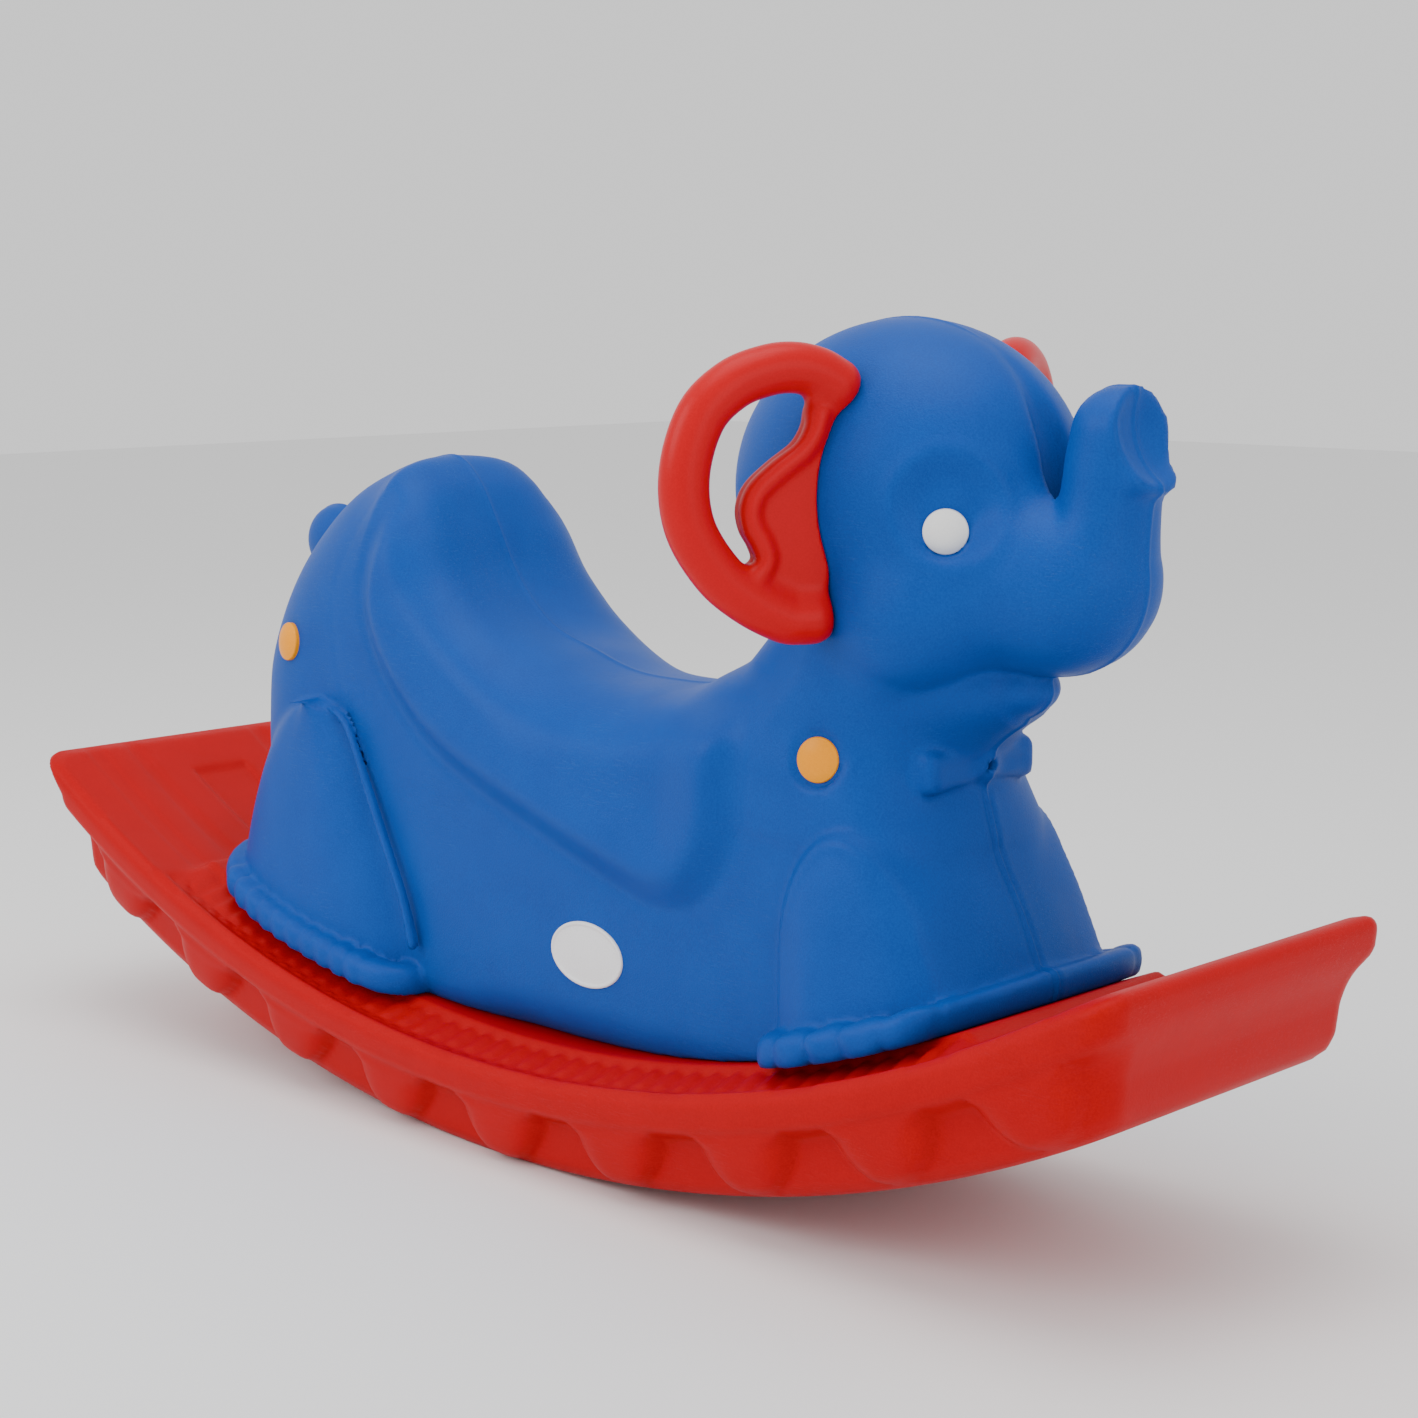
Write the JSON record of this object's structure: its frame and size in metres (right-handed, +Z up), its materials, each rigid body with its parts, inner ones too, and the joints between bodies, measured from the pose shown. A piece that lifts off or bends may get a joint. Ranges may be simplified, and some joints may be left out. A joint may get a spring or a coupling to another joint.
{
  "type": "rocking elephant",
  "caption": "Child's rocking elephant: a moulded ride-on body with a saddle seat and looped ear handles, bolted to a curved rocker base.",
  "frame": {"origin": "on the floor under the middle of the rocker base", "axes": "+X towards the elephant's trunk, +Y to the elephant's left, +Z up"},
  "size_m": [1.01, 0.3378, 0.5346],
  "materials": {
    "red_plastic": "satin moulded polyethylene, fine texture",
    "blue_plastic": "satin moulded polyethylene, fine texture",
    "white_plastic": "smooth",
    "orange_plastic": "smooth",
    "label": "smooth, bare",
    "zinc_steel": "zinc plated",
    "brass": "turned"
  },
  "bodies": {
    "root": {"rocker_base": "red_plastic", "body_shell": "blue_plastic", "ear_left": "red_plastic", "ear_right": "red_plastic", "eye_left": "white_plastic", "eye_right": "white_plastic", "cap_front_left": "orange_plastic", "cap_front_right": "orange_plastic", "cap_rear_left": "orange_plastic", "cap_rear_right": "orange_plastic", "side_badge": "label", "base_bolt_front_left": "zinc_steel", "bolt_washer_front_left": "zinc_steel", "foot_insert_front_left": "brass", "base_bolt_front_right": "zinc_steel", "bolt_washer_front_right": "zinc_steel", "foot_insert_front_right": "brass", "base_bolt_rear_left": "zinc_steel", "bolt_washer_rear_left": "zinc_steel", "foot_insert_rear_left": "brass", "base_bolt_rear_right": "zinc_steel", "bolt_washer_rear_right": "zinc_steel", "foot_insert_rear_right": "brass"}
  },
  "joints": []
}
